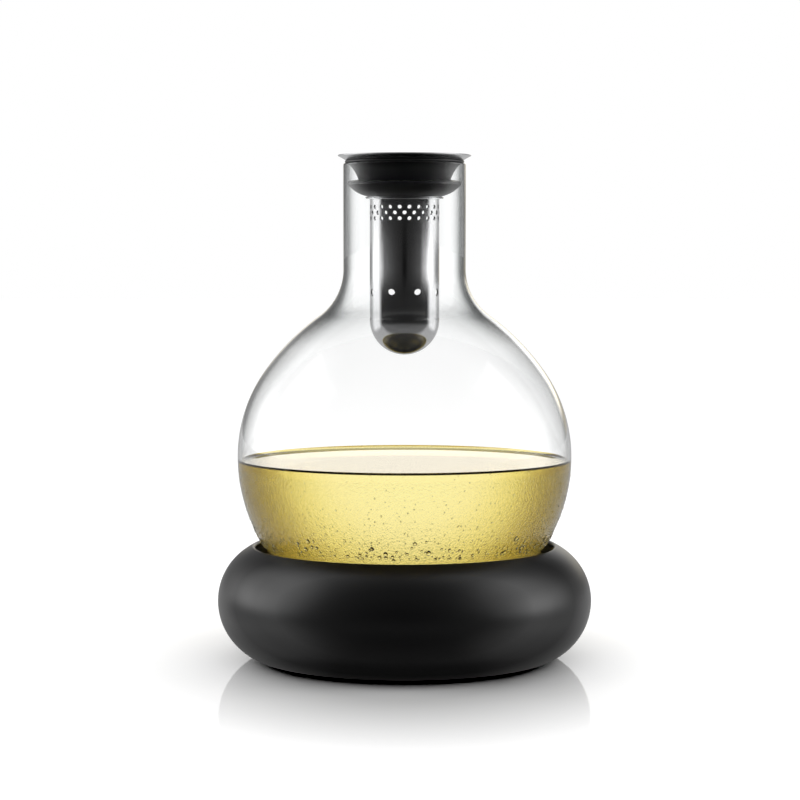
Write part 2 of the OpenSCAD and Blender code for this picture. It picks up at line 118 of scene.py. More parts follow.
class Outline:
    """A half section that grows from its tip, vertex by vertex.

    An arc's steps bulge by SMOOTHNESS at most, or on a small arc by COARSEST of its radius.
    """

    SMOOTHNESS = 0.004
    COARSEST = 0.03
    MERGE = 1e-3
    SECTORS = 16
    STEPS = 192
    FINE_STEPS = 256

    def __init__(self, x: float, z: float) -> None:
        """Start an outline at a point.

        Args:
            x: Distance from the axis.
            z: Height.
        """
        self.mesh = bmesh.new()
        self.start = self.mesh.verts.new((x, 0.0, z))
        self.tip = self.start

    def line(self, *points: Point) -> "Outline":
        """Draw straight lines.

        Args:
            points: The ends of the lines, in order.

        Returns:
            The outline itself.
        """
        for x, z in points:
            self.tip = bmesh.ops.extrude_vert_indiv(self.mesh, verts=[self.tip])["verts"][0]
            self.tip.co = (x, 0.0, z)
        return self

    def arc(self, centre: Point, degrees: float, clockwise: bool | None = None) -> "Outline":
        """Draw an arc from the tip.

        Args:
            centre: Centre of the arc.
            degrees: Angle at which the arc ends.
            clockwise: The way round, or None for the shorter way.

        Returns:
            The outline itself.
        """
        out, up = self.tip.co.x - centre[0], self.tip.co.z - centre[1]
        turn = (degrees - math.degrees(math.atan2(up, out))) % 360
        if clockwise or (clockwise is None and turn > 180):
            turn -= 360
        radius = math.hypot(out, up)
        step = 2 * math.degrees(math.acos(1 - min(self.SMOOTHNESS / radius, self.COARSEST)))
        if not math.isclose(turn, 0, abs_tol=1e-6):
            spun = bmesh.ops.spin(
                self.mesh,
                geom=[self.tip],
                cent=(centre[0], 0, centre[1]),
                axis=(0, -1, 0),
                angle=math.radians(turn),
                steps=math.ceil(abs(turn) / step),
            )
            self.tip = spun["geom_last"][0]
        return self

    def close(self) -> "Outline":
        """Join the tip to the start."""
        self.mesh.edges.new((self.tip, self.start))
        return self

    def turned(self, steps: int = STEPS) -> bmesh.types.BMesh:
        """Turn the outline about Z.

        Args:
            steps: Number of steps in a full turn.

        Returns:
            The closed mesh, with outward normals.
        """
        mesh = self.mesh
        bmesh.ops.remove_doubles(mesh, verts=mesh.verts[:], dist=self.MERGE)
        turn = {"cent": (0, 0, 0), "axis": (0, 0, 1)}
        part = math.tau / self.SECTORS
        bmesh.ops.spin(
            mesh, geom=mesh.verts[:] + mesh.edges[:], angle=part, steps=steps // self.SECTORS, **turn
        )
        whole = mesh.verts[:] + mesh.edges[:] + mesh.faces[:]
        bmesh.ops.spin(
            mesh, geom=whole, angle=math.tau - part, steps=self.SECTORS - 1, use_duplicate=True, **turn
        )
        bmesh.ops.remove_doubles(mesh, verts=mesh.verts[:], dist=self.MERGE)
        bmesh.ops.recalc_face_normals(mesh, faces=mesh.faces[:])
        return mesh


def make_piece(name: str, mesh: bmesh.types.BMesh, sharp: float = SHARP) -> bpy.types.Object:
    """Make an object of a mesh in millimetres.

    Args:
        name: Name of the piece.
        mesh: Its shape, which is freed.
        sharp: Angle in degrees above which an edge is shaded as sharp.

    Returns:
        The object, at the origin, in metres.
    """
    bmesh.ops.scale(mesh, vec=(MM, MM, MM), verts=mesh.verts[:])
    data = bpy.data.meshes.new(name)
    mesh.to_mesh(data)
    mesh.free()
    data.shade_smooth()
    data.set_sharp_from_angle(angle=math.radians(sharp))
    piece = bpy.data.objects.new(name, data)
    bpy.context.scene.collection.objects.link(piece)
    return piece


def settle(piece: bpy.types.Object) -> None:
    """Apply a piece's modifiers to its mesh.

    Args:
        piece: The piece.
    """
    seen = piece.evaluated_get(bpy.context.evaluated_depsgraph_get())
    data = bpy.data.meshes.new_from_object(seen)
    piece.modifiers.clear()
    piece.data = data


def linear(hex_colour: str) -> tuple[float, float, float, float]:
    """Turn an sRGB hex colour into linear light.

    Args:
        hex_colour: Colour such as "#20A0FF".

    Returns:
        Linear red, green and blue, and full alpha.
    """
    parts = [int(hex_colour[i : i + 2], 16) / 255 for i in (1, 3, 5)]
    light = [p / 12.92 if p <= 0.04045 else ((p + 0.055) / 1.055) ** 2.4 for p in parts]
    return light[0], light[1], light[2], 1.0


def add_node(
    tree: Tree,
    kind: str,
    settings: dict | None = None,
    links: dict | None = None,
) -> bpy.types.Node:
    """Add a shader node.

    Args:
        tree: Node tree to add it to.
        kind: Blender's name for the kind of node.
        settings: Values for its sockets, by name or number, or else for its attributes.
        links: Output sockets that feed its inputs, by name or number.

    Returns:
        The node.
    """
    node = tree.nodes.new(kind)
    for key, value in (settings or {}).items():
        if isinstance(key, int) or key in node.inputs:
            node.inputs[key].default_value = value
        else:
            setattr(node, key, value)
    for key, source in (links or {}).items():
        tree.links.new(source, node.inputs[key])
    return node


def fill_ramp(ramp: bpy.types.ColorRamp, stops: list[tuple[float, tuple[float, ...]]]) -> None:
    """Set a colour ramp's stops.

    Args:
        ramp: The ramp.
        stops: Place from 0 to 1 and linear colour of each stop, in order.
    """
    first, *middle, last = stops
    ramp.elements[0].position, ramp.elements[0].color = first
    ramp.elements[1].position, ramp.elements[1].color = last
    for place, colour in middle:
        ramp.elements.new(place).color = colour


def grey(level: float) -> tuple[float, float, float, float]:
    """Return a linear grey with full alpha."""
    return level, level, level, 1.0


def greys(*stops: Point) -> list[tuple[float, tuple[float, ...]]]:
    """Turn places and linear greys into stops of a colour ramp."""
    return [(place, grey(level)) for place, level in stops]


def bare_tree(owner: bpy.types.Material | bpy.types.World) -> Tree:
    """Return the node tree of a material or world, emptied."""
    owner.use_nodes = True
    owner.node_tree.nodes.clear()
    return owner.node_tree


def follow(tree: Tree, *measures: tuple[Socket, Span], start: Socket | None = None) -> Socket:
    """Add nodes for a level that follows several measures at once.

    Args:
        tree: Node tree to add them to.
        measures: Each measure with its span.
        start: A level that is multiplied with the others, if any.

    Returns:
        The product of the levels.
    """
    level = start
    for measure, span in measures:
        step = add_node(tree, "ShaderNodeMapRange", dict(enumerate(span, 1)), {0: measure}).outputs[0]
        if level is not None:
            step = add_node(tree, "ShaderNodeMath", {"operation": "MULTIPLY"}, {0: level, 1: step}).outputs[0]
        level = step
    return level


@dataclass(frozen=True)
class Finish:
    """What a surface is made of. The subclasses fill in its nodes."""

    title: str
    slot: str

    def surface(self, tree: Tree) -> Socket:
        """Add the finish's nodes and return the shader that they end in."""
        raise NotImplementedError

    def material(self) -> bpy.types.Material:
        """Make the finish's material the first time it is asked for.

        Returns:
            The material.
        """
        found = bpy.data.materials.get(self.title)
        if found:
            return found
        made = bpy.data.materials.new(self.title)
        tree = bare_tree(made)
        add_node(tree, "ShaderNodeOutputMaterial", links={"Surface": self.surface(tree)})
        return made

    def dress(self, piece: bpy.types.Object) -> None:
        """Give a piece, or a CAD node, this finish.

        Args:
            piece: The piece or node.
        """
        if piece.data.materials:
            for i in range(len(piece.data.materials)):
                piece.data.materials[i] = self.material()
        else:
            piece.data.materials.append(self.material())


@dataclass(frozen=True)
class Moulded(Finish):
    """Moulded plastic or rubber: a fine texture from the tool, and gloss that changes a little in patches."""

    colour: str
    roughness: float
    grain: float
    relief: float
    specular: float = 0.5
    sheen: float = 0.0
    gloss: tuple[Point, ...] = ()
    patch: float = 14.0
    spread: float = 0.03

    def surface(self, tree: Tree) -> Socket:
        """Add the finish's nodes.

        Args:
            tree: Node tree to add them to.

        Returns:
            The shader that they end in.
        """
        place = add_node(tree, "ShaderNodeTexCoord").outputs["Object"]
        texture = add_node(
            tree,
            "ShaderNodeTexNoise",
            {"Scale": 1 / (self.grain * MM), "Detail": 3.0, "Roughness": 0.6},
            {"Vector": place},
        ).outputs["Fac"]
        bump = add_node(
            tree,
            "ShaderNodeBump",
            {"Strength": 0.35, "Distance": self.relief * MM},
            {"Height": texture},
        ).outputs["Normal"]
        patches = add_node(
            tree, "ShaderNodeTexNoise", {"Scale": 1 / (self.patch * MM), "Detail": 2.0}, {"Vector": place}
        ).outputs["Fac"]
        roughness = add_node(
            tree,
            "ShaderNodeMapRange",
            {3: self.roughness - self.spread, 4: self.roughness + self.spread},
            {0: patches},
        ).outputs[0]
        links = {"Roughness": roughness, "Normal": bump}
        if self.gloss:
            # A gloss ramp paints part of the highlights: reflection is made stronger or weaker by how steeply
            # it is seen.
            facing = add_node(tree, "ShaderNodeLayerWeight", {"Blend": 0.5}).outputs["Facing"]
            ramp = add_node(tree, "ShaderNodeValToRGB", links={"Fac": facing})
            fill_ramp(ramp.color_ramp, greys(*self.gloss))
            links["Specular IOR Level"] = ramp.outputs["Color"]
        return add_node(
            tree,
            "ShaderNodeBsdfPrincipled",
            {
                "Base Color": linear(self.colour),
                "Specular IOR Level": self.specular,
                "Sheen Weight": self.sheen,
                "IOR": 1.5,
            },
            links,
        ).outputs[0]


@dataclass(frozen=True)
class Steel(Finish):
    """Stainless steel: a clean colour and faint lines left by turning or drawing."""

    colour: str
    roughness: float
    line: float
    relief: float
    length: float = 12.0
    spread: float = 0.15

    def surface(self, tree: Tree) -> Socket:
        """Add the finish's nodes.

        Args:
            tree: Node tree to add them to.

        Returns:
            The shader that they end in.
        """
        place = add_node(tree, "ShaderNodeTexCoord").outputs["Object"]
        across, along = 1 / (self.line * MM), 1 / (self.length * MM)
        squeezed = add_node(
            tree, "ShaderNodeMapping", {"Scale": (along, along, across)}, {"Vector": place}
        ).outputs["Vector"]
        lines = add_node(
            tree, "ShaderNodeTexNoise", {"Scale": 1.0, "Detail": 2.0}, {"Vector": squeezed}
        ).outputs["Fac"]
        bump = add_node(
            tree,
            "ShaderNodeBump",
            {"Strength": 0.2, "Distance": self.relief * MM},
            {"Height": lines},
        ).outputs["Normal"]
        roughness = add_node(
            tree,
            "ShaderNodeMapRange",
            {3: self.roughness * (1 - self.spread), 4: self.roughness * (1 + self.spread)},
            {0: lines},
        ).outputs[0]
        return add_node(
            tree,
            "ShaderNodeBsdfPrincipled",
            {"Base Color": linear(self.colour), "Metallic": 1.0},
            {"Roughness": roughness, "Normal": bump},
        ).outputs[0]


@dataclass(frozen=True)
class Glass(Finish):
    """Blown glass or a clear liquid, with painted shade by how steeply it is seen, misted by cold up to a
    level.
    """

    ior: float
    colour_and_edge_shade: tuple[tuple[float, str], ...]
    mirror: str = "#FFFFFF"
    painted_neck_shade: tuple[tuple[float, str], ...] = ()
    neck_foot: float = 0.0
    neck_blend: float = 14.0
    mist: float = 0.0
    mist_level: float = 0.0
    mist_fade: float = 3.0
    mist_bead: float = 1.0

    def edge_shade_colour(self, tree: Tree, height: Socket) -> Socket:
        """Add the nodes of the colour and its painted shade.

        Args:
            tree: Node tree to add them to.
            height: Height of the point that is shaded, in metres.

        Returns:
            The colour, with its painted shade.
        """
        # Painted shade: the colour greys as the surface is seen more edge-on, so the edges look dark from any
        # side.
        facing = add_node(tree, "ShaderNodeLayerWeight", {"Blend": 0.5}).outputs["Facing"]
        ramps = []
        for colour_and_edge_shade in filter(None, (self.colour_and_edge_shade, self.painted_neck_shade)):
            ramp = add_node(tree, "ShaderNodeValToRGB", links={"Fac": facing})
            fill_ramp(ramp.color_ramp, [(place, linear(shade)) for place, shade in colour_and_edge_shade])
            ramps.append(ramp.outputs["Color"])
        if not self.painted_neck_shade:
            return ramps[0]
        # From the neck's foot up, the neck's painted shade takes over.
        span = (self.neck_foot * MM, (self.neck_foot + self.neck_blend) * MM)
        up = follow(tree, (height, span))
        return add_node(
            tree, "ShaderNodeMix", {"data_type": "RGBA"}, {0: up, 6: ramps[0], 7: ramps[1]}
        ).outputs[2]

    def misted(self, tree: Tree, place: Socket, height: Socket) -> Socket:
        """Add the mist's nodes.

        Args:
            tree: Node tree to add them to.
            place: The point that is shaded, in metres.
            height: Height of that point.

        Returns:
            The normal, bent by the mist.
        """
        beads = add_node(
            tree,
            "ShaderNodeTexNoise",
            {"Scale": 1 / (self.mist_bead * MM), "Detail": 3.0, "Roughness": 0.7},
            {"Vector": place},
        ).outputs["Fac"]
        level = self.mist_level * MM
        relief = follow(tree, (height, (level - self.mist_fade * MM, level, 1.0, 0.0)), start=beads)
        return add_node(
            tree, "ShaderNodeBump", {"Strength": 1.0, "Distance": self.mist * MM}, {"Height": relief}
        ).outputs["Normal"]

    def surface(self, tree: Tree) -> Socket:
        """Add the finish's nodes.

        Args:
            tree: Node tree to add them to.

        Returns:
            The shader that they end in.
        """
        place = add_node(tree, "ShaderNodeTexCoord").outputs["Object"]
        height = add_node(tree, "ShaderNodeSeparateXYZ", links={0: place}).outputs["Z"]
        links = {"Base Color": self.edge_shade_colour(tree, height)}
        if self.mist:
            links["Normal"] = self.misted(tree, place, height)
        return add_node(
            tree,
            "ShaderNodeBsdfPrincipled",
            {
                "Roughness": 0.0,
                "IOR": self.ior,
                "Transmission Weight": 1.0,
                "Specular Tint": linear(self.mirror),
            },
            links,
        ).outputs[0]


@dataclass(frozen=True)
class LacqueredBoard(Finish):
    """White lacquered board: it keeps the real shadow, mirrors the base faintly and glows with painted light
    and shade.

    Its glow comes to the eye straight, mirrored or through glass, and doesn't light matt surfaces. Straight
    on, it is dimmed into a painted shadow in an oval in front of the base; in mirrors the board is painted
    near-black, with patches of painted light. The spans are in metres from the object's axis. Only dim is a
    slant, the share of the way that leads backwards.
    """

    paint: float = 0.8
    # In mirrors the board's paint is near-black, a painted shade.
    painted_mirror_dark: float = 0.03
    painted_shadow_oval: tuple[float, float, float] = (1.0, 0.5, 0.0)
    # Painted shadow: the glow seen straight on is negative in the oval before the base and rises to white
    # beyond.
    lift: Span = (0.052, 0.118, -0.14, 0.38)
    # The painted light that steel, lacquer and glass see on the board, in patches:
    aside: Span = (0.03, 0.12, 0.05, 0.55)
    near: Span = (-0.16, -0.06)
    behind: Span = (-0.02, 0.06, 0.0, 0.5)
    rise: Span = (0.12, 0.17, 0.0, 0.12)
    drop: Span = (0.5, 1.0, 1.0, 0.0)
    away: Span = (0.22, 0.6, 0.0, 1.5)
    dim: Span = (0.5, 0.75, 1.0, 0.4)
    gloss: Span = (0.11, 0.2, 0.2, 0.0)
    roughness: float = 0.04

    def painted_mirror_light(self, tree: Tree, depth: Socket, place: Socket, length: Socket) -> Socket:
        """Add the nodes for the painted light that the board shows in steel, lacquer and glass.

        Args:
            tree: Node tree to add them to.
            depth: How many surfaces the ray has passed.
            place: The point that is shaded.
            length: Its distance from the middle.

        Returns:
            The brightest of the painted lights at the sides, behind, in front and far away.
        """
        parts = add_node(tree, "ShaderNodeSeparateXYZ", links={0: place}).outputs
        width = add_node(tree, "ShaderNodeMath", {"operation": "ABSOLUTE"}, {0: parts["X"]}).outputs[0]
        slant = add_node(
            tree, "ShaderNodeMath", {"operation": "DIVIDE"}, {0: parts["Y"], 1: length}
        ).outputs[0]
        back = add_node(tree, "ShaderNodeMapRange", PANEL_EDGE, {0: slant}).outputs[0]
        light = follow(tree, (width, self.aside), (parts["Y"], self.near))
        for other in (
            follow(tree, (parts["Y"], self.behind)),
            follow(tree, (length, self.rise), (length, self.drop)),
            follow(tree, (length, self.away), (slant, self.dim), (depth, INSIDE), start=back),
        ):
            light = add_node(
                tree, "ShaderNodeMath", {"operation": "MAXIMUM"}, {0: light, 1: other}
            ).outputs[0]
        return light

    def surface(self, tree: Tree) -> Socket:
        """Add the finish's nodes.

        Args:
            tree: Node tree to add them to.

        Returns:
            The shader that they end in.
        """
        path = add_node(tree, "ShaderNodeLightPath").outputs
        seen = path["Is Camera Ray"]
        for ray in ("Is Glossy Ray", "Is Transmission Ray"):
            seen = add_node(
                tree, "ShaderNodeMath", {"operation": "MAXIMUM"}, {0: seen, 1: path[ray]}
            ).outputs[0]
        place = add_node(tree, "ShaderNodeTexCoord").outputs["Object"]
        length = add_node(tree, "ShaderNodeVectorMath", {"operation": "LENGTH"}, {0: place}).outputs["Value"]
        painted_shadow_oval = add_node(tree, "ShaderNodeVectorMath", {"operation": "MULTIPLY", 1: self.painted_shadow_oval}, {0: place})
        apart = add_node(tree, "ShaderNodeVectorMath", {"operation": "LENGTH"}, {0: painted_shadow_oval.outputs[0]})
        mirrored = follow(tree, (path["Glossy Depth"], MIRRORED))
        # Straight on, the lift paints a shadow in front of the base; in mirrors the painted light takes its
        # place.
        lift = add_node(
            tree,
            "ShaderNodeMix",
            {"data_type": "FLOAT"},
            {
                0: mirrored,
                2: follow(tree, (apart.outputs["Value"], self.lift)),
                3: self.painted_mirror_light(tree, path["Transmission Depth"], place, length),
            },
        ).outputs[0]
        glow = add_node(tree, "ShaderNodeMath", {"operation": "MULTIPLY"}, {0: seen, 1: lift}).outputs[0]
        light = add_node(tree, "ShaderNodeEmission", {"Color": grey(1.0)}, {"Strength": glow})
        # In mirrors the paint is near-black, a painted shade under the painted light.
        tone = add_node(
            tree,
            "ShaderNodeMix",
            {"data_type": "RGBA", 6: grey(self.paint), 7: grey(self.painted_mirror_dark)},
            {0: mirrored},
        ).outputs[2]
        paint = add_node(tree, "ShaderNodeBsdfDiffuse", links={0: tone})
        matt = add_node(tree, "ShaderNodeAddShader", links={0: paint.outputs[0], 1: light.outputs[0]})
        shine = add_node(tree, "ShaderNodeBsdfGlossy", {"Color": grey(1.0), "Roughness": self.roughness})
        share = follow(tree, (length, self.gloss))
        return add_node(
            tree, "ShaderNodeMixShader", links={0: share, 1: matt.outputs[0], 2: shine.outputs[0]}
        ).outputs[0]


# ABS with a matt soft-touch lacquer: deep black with broad, soft highlights. They are the soft boxes'
# reflections, made stronger and weaker in bands by how steeply the lacquer is seen, a painted part of them.
SOFT_BLACK = Moulded(
    "Soft_touch_ABS",
    "soft_black",
    "#0A0A0B",
    0.34,
    0.35,
    0.01,
    gloss=(
        (0.0, 0.45), (0.1, 0.5), (0.2, 0.75), (0.28, 0.85), (0.41, 0.5), (0.58, 0.27), (0.7, 0.45), (1.0, 0.6)
    ),
)
# Spark-eroded ABS: an even matt black.
TOOL_BLACK = Moulded("Spark_eroded_ABS", "moulded_black", "#101011", 0.55, 0.6, 0.03)
# Polypropylene shells of the freezer dish: dark, waxy and a little glossier.
FREEZER_PP = Moulded("Moulded_polypropylene", "freezer_plastic", "#1A1B1E", 0.4, 0.8, 0.02)
# Compression-moulded silicone: black with a soft sheen.
BLACK_SILICONE = Moulded("Moulded_silicone", "black_silicone", "#131314", 0.38, 0.5, 0.01, 0.65, 0.03)
# Silicone pads and feet: a little greyer and duller.
PAD_SILICONE = Moulded("Pad_silicone", "pad_silicone", "#19191A", 0.6, 0.5, 0.02)
FOOT_SILICONE = Moulded("Foot_silicone", "foot_silicone", "#141415", 0.65, 0.5, 0.02)
# Gel in its sealed hollow: a pale blue mass that shows only with the shells taken apart.
COOLING_GEL = Moulded("Cooling_gel", "gel", "#7FA9C9", 0.3, 2.0, 0.05)
# Polyethylene plug: pale and waxy.
PLUG_PE = Moulded("Moulded_polyethylene", "plug_plastic", "#D4D6D8", 0.42, 0.8, 0.02)
# Zinc-plated steel screws: dull grey with fine turning lines.
ZINC_STEEL = Steel("Zinc_plated_steel", "screw_steel", "#B9BABB", 0.35, 0.2, 0.004)
# Buffed 18/10 stainless, bright but softer than a mirror: the funnel and its ring.
POLISHED_STEEL = Steel("Polished_stainless", "polished_steel", "#D6D7D8", 0.24, 0.3, 0.001)
# Deep-drawn stainless with a satin polish: soft-edged bands of reflected light.
SATIN_STEEL = Steel("Satin_stainless", "satin_steel", "#CFCFD0", 0.09, 0.25, 0.0012)
# Mouth-blown soda-lime glass: colourless. The grey along its edges, where the eye looks along the wall,
# is painted shade.
BLOWN_GLASS = Glass(
    "Blown_glass",
    "clear_glass",
    1.5,
    (
        (0.0, "#FFFFFF"),
        (0.8, "#FEFFFF"),
        (0.87, "#CDCFCF"),
        (1.0, "#5A5C5C"),
    ),
    mirror="#888888",
    # Painted shade: the darker outlines of the neck, blended in from neck_foot upwards.
    painted_neck_shade=(
        (0.0, "#FFFFFF"),
        (0.32, "#FCFDFD"),
        (0.45, "#EDEEEE"),
        (0.563, "#D2D4D4"),
        (0.64, "#A4A6A6"),
        (0.72, "#626464"),
        (0.8, "#6A6C6C"),
        (1.0, "#4A4C4C"),
    ),
    neck_foot=138,
    mist=0.2,
    mist_level=87.0,
)
# White wine: pale gold, its own colour, where it is looked straight through. Towards its edges it turns
# deeper gold, partly its own colour through more wine and partly painted shade, then a dark olive band of
# painted shade, and at the very edge a near-white rim of painted light.
WHITE_WINE = Glass(
    "White_wine",
    "clear_glass",
    1.34,
    (
        (0.0, "#FFF4A8"),
        (0.046, "#FFEFA0"),
        (0.092, "#EEDA74"),
        (0.123, "#DCC45A"),
        (0.158, "#A48A2C"),
        (0.2, "#866C1C"),
        (0.255, "#94761F"),
        (0.45, "#F3E7AF"),
        (1.0, "#FFFCEC"),
    ),
)
# Water that condenses on the cold glass: clear, with a faint painted shade towards the edge of each drop.
WATER = Glass("Condensed_water", "clear_glass", 1.33, ((0.0, "#FFFFFF"), (1.0, "#E8E8E8")))
# White lacquered board on the studio's table: it isn't part of the object and takes no slot. Its glow
# paints the shadow in front of the base and the light that steel and glass mirror.
BOARD = LacqueredBoard("White_lacquered_board", "")


@dataclass
class RingBase:
    """The ring base: the seamless shell, and behind its lip the well that takes the freezer dish."""

    reach: float = 82.63
    mid_height: float = 26.0
    height: float = 50.7
    mouth: float = 66.04
    top_curve: float = 46.1
    side_angle: float = 57.5
    under_curve: float = 17.2
    under_angle: float = 62.5
    wall: float = 2.2
    lift: float = 0.6
    turn_in: float = 2.6

    def curves(self) -> dict[str, Point | float]:
        """Work out the centres of the shell's arcs and the angle at which the lip ends.

        Returns:
            The centres and angles by name.
        """
        top_start = polar((self.reach, self.mid_height), -self.top_curve, self.side_angle)
        lip = Vector((self.mouth - top_start[0], self.height - top_start[1]))
        side = Vector((math.cos(math.radians(self.side_angle)) - 1, math.sin(math.radians(self.side_angle))))
        square, mix, rest = side.dot(side), lip.dot(side), lip.dot(lip) - self.top_curve**2
        side_r = (mix - math.sqrt(mix**2 - square * rest)) / square
        side_c = (self.reach - side_r, self.mid_height)
        top_c = polar(side_c, side_r - self.top_curve, self.side_angle)
        lip_angle = math.degrees(
            math.acos((self.mouth + self.wall / 2 - top_c[0]) / (self.top_curve - self.wall / 2))
        )
        sine = math.sin(math.radians(self.under_angle))
        low_r = (self.mid_height - self.under_curve * (1 - sine)) / sine
        low_c = (self.reach - low_r, self.mid_height)
        under_c = polar(low_c, low_r - self.under_curve, -self.under_angle)
        return {
            "side": side_c,
            "top": top_c,
            "low": low_c,
            "under": under_c,
            "lip": lip_angle,
            "lip_c": polar(top_c, self.top_curve - self.wall / 2, lip_angle),
        }

    def shell(self) -> bpy.types.Object:
        """Build the shell with its thin rounded lip.

        Returns:
            The piece.
        """
        c = self.curves()
        lip, foot = c["lip"], c["under"][0] - self.turn_in
        inner = self.under_curve - self.wall
        foot_angle = math.degrees(math.asin((self.lift - c["under"][1]) / self.under_curve))
        outline = Outline(foot, self.lift).line(polar(c["under"], self.under_curve, foot_angle))
        outline.arc(c["under"], -self.under_angle).arc(c["low"], 0).arc(c["side"], self.side_angle)
        outline.arc(c["top"], lip).arc(c["lip_c"], lip + 180, clockwise=False)
        outline.arc(c["top"], self.side_angle).arc(c["side"], 0).arc(c["low"], -self.under_angle)
        outline.arc(c["under"], -math.degrees(math.acos((foot - c["under"][0]) / inner)))
        return make_piece("ring_shell", outline.close().turned(Outline.FINE_STEPS))

    def build(self) -> None:
        """Build and dress the base."""
        shell = self.shell()
        SOFT_BLACK.dress(shell)
        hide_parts("base_shell")
        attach(shell, Body.BASE.value)
        TOOL_BLACK.dress(frame["nodes"]["base_well"])
        TOOL_BLACK.dress(frame["nodes"]["base_plate"])
        ZINC_STEEL.dress(frame["nodes"]["base_screws"])
        FOOT_SILICONE.dress(frame["nodes"]["foot_ring"])
        LOG.info("ring base: shell made, hidden pieces dressed")


@dataclass
class FreezerDish:
    """The lift-out dish of two plastic shells with gel between them, and the pad on it."""

    def build(self) -> None:
        """Dress the pieces of the dish."""
        FREEZER_PP.dress(frame["nodes"]["freezer_tray"])
        FREEZER_PP.dress(frame["nodes"]["freezer_dish"])
        COOLING_GEL.dress(frame["nodes"]["cooling_gel"])
        PLUG_PE.dress(frame["nodes"]["filler_plug"])
        PAD_SILICONE.dress(frame["nodes"]["rest_pad"])
        LOG.info("freezer dish: dressed")


@dataclass
class Carafe:
    """The blown glass and the wine in it.

    The wine's meniscus is given by distances from the glass and heights above the level.
    """

    globe: float = 73.7
    foot_flat: float = 31.2
    foot_curve: float = 10.0
    upper: float = 65.0
    upper_angle: float = 35.0
    shoulder: float = 105.5
    neck_curve: float = 25.0
    neck: float = 26.9
    neck_length: float = 46.5
    wall: float = 1.6
    foot_wall: float = 3.2
    punt: float = 20.0
    punt_rise: float = 1.5
    seat: float = 24.0
    level: float = 87.5
    sunk: float = 0.25
    meniscus: tuple[Point, ...] = ((0.15, 1.2), (0.5, 0.72), (1.1, 0.288), (2.2, 0.02), (4.4, 0.0))

    def __post_init__(self) -> None:
        """Work out the centres of the arcs."""
        self.globe_c = (0.0, self.seat + self.foot_curve + leg(self.globe - self.foot_curve, self.foot_flat))
        self.upper_c = (self.globe - self.upper, self.globe_c[1])
        self.shoulder_c = polar(self.upper_c, self.upper - self.shoulder, self.upper_angle)
        x = self.neck + self.neck_curve
        z = self.shoulder_c[1] + leg(self.shoulder + self.neck_curve, x - self.shoulder_c[0])
        self.neck_c = (x, z)
        self.shoulder_angle = math.degrees(math.atan2(z - self.shoulder_c[1], x - self.shoulder_c[0]))
        self.rim = z + self.neck_length

    def foot_centre(self, inset: float, floor: float) -> tuple[Point, float]:
        """Find the curve between foot and globe.

        Args:
            inset: How far inside the outer face of the glass it lies.
            floor: Height of the flat foot.

        Returns:
            Its centre, and the angle about the globe's centre at which it ends.
        """
        curve = self.foot_curve - inset
        z = floor + curve
        x = leg(self.globe - inset - curve, self.globe_c[1] - z)
        return (x, z), math.degrees(math.atan2(z - self.globe_c[1], x))

    def glass(self) -> bpy.types.Object:
        """Build the glass as one closed wall.

        Returns:
            The piece.
        """
        punt_r = (self.punt**2 + self.punt_rise**2) / (2 * self.punt_rise)
        punt_c = (0.0, self.seat + self.punt_rise - punt_r)
        foot, foot_angle = self.foot_centre(0, self.seat)
        outline = Outline(0, self.seat + self.punt_rise)
        outline.arc(punt_c, math.degrees(math.acos(self.punt / punt_r)))
        outline.line((foot[0], self.seat)).arc(foot, foot_angle).arc(self.globe_c, 0)
        outline.arc(self.upper_c, self.upper_angle).arc(self.shoulder_c, self.shoulder_angle)
        outline.arc(self.neck_c, 180).line((self.neck, self.rim - self.wall / 2))
        outline.arc((self.neck - self.wall / 2, self.rim - self.wall / 2), 180, clockwise=False)
        outline.line((self.neck - self.wall, self.neck_c[1])).arc(self.neck_c, 180 + self.shoulder_angle)
        outline.arc(self.shoulder_c, self.upper_angle).arc(self.upper_c, 0)
        foot, foot_angle = self.foot_centre(self.wall, self.seat + self.foot_wall)
        outline.arc(self.globe_c, foot_angle).arc(foot, -90).line((0, self.seat + self.foot_wall))
        return make_piece("glass_carafe", outline.turned())

    def wine(self) -> bpy.types.Object:
        """Build the wine: it reaches a little into the glass, so that no air shows between.

        Returns:
            The piece.
        """
        inset = self.wall - self.sunk
        floor = self.seat + self.foot_wall - self.sunk
        foot, foot_angle = self.foot_centre(inset, floor)
        high = self.level + self.meniscus[0][1] - self.globe_c[1]
        outline = Outline(0, floor).line((foot[0], floor)).arc(foot, foot_angle)
        outline.arc(self.globe_c, math.degrees(math.asin(high / (self.globe - inset))))
        wall = leg(self.globe - self.wall, high)
        outline.line(*[(wall - x, self.level + z) for x, z in self.meniscus], (0, self.level))
        return make_piece("wine", outline.turned(), sharp=50)

    def build(self) -> None:
        """Build and dress the glass and the wine."""
        glass = self.glass()
        BLOWN_GLASS.dress(glass)
        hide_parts("carafe_glass")
        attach(glass, Body.CARAFE.value)
        wine = self.wine()
        WHITE_WINE.dress(wine)
        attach(wine, Body.CARAFE.value)
        LOG.info("carafe: glass and wine made")


